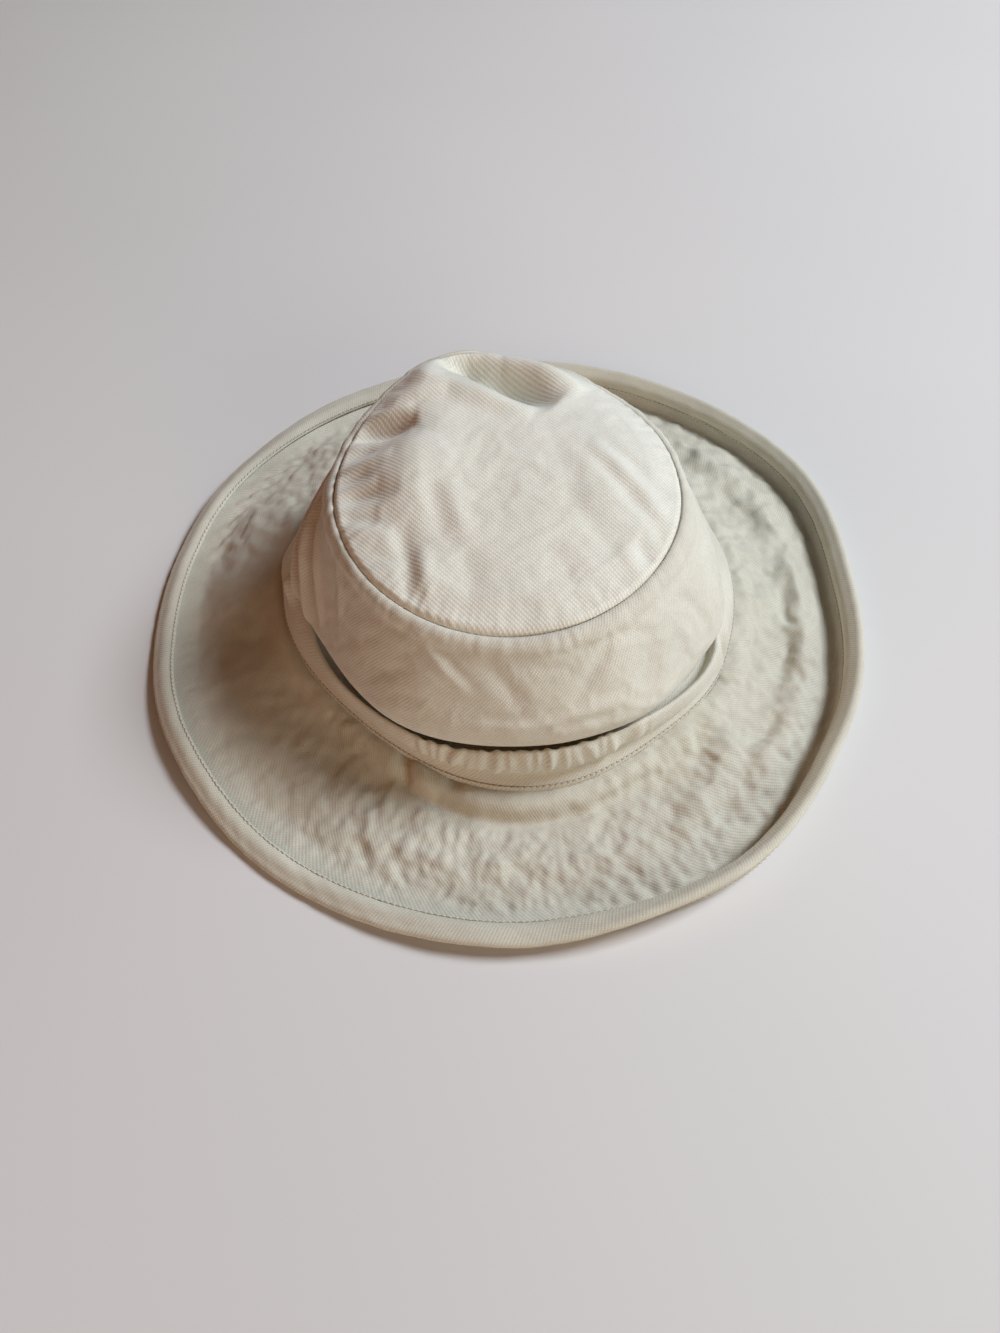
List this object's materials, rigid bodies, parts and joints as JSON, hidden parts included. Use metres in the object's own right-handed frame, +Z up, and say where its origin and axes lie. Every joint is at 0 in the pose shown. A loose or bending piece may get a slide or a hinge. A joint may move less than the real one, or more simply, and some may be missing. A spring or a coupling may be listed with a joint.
{
  "type": "brimmed sun hat",
  "caption": "Soft cotton sun hat with a slumped, tucked round crown and a wide brim whose bound edge turns up along one side, resting on its brim.",
  "frame": {"origin": "on the floor, under the middle of the hat's box", "axes": "+Z up; -Y towards the front, where the crown has slumped; +X towards the side where the brim's edge stands up"},
  "size_m": [0.3, 0.3124, 0.1037],
  "materials": {
    "crown_tip": "ivory cotton twill, washed soft",
    "crown_side": "ivory cotton twill, washed soft",
    "brim": "ivory cotton twill, crumpled",
    "brim_binding": "ivory cotton twill strip, folded and edge-stitched"
  },
  "bodies": {
    "root": {"crown_tip": "crown_tip", "crown_side": "crown_side", "brim": "brim", "brim_binding": "brim_binding"}
  },
  "joints": []
}
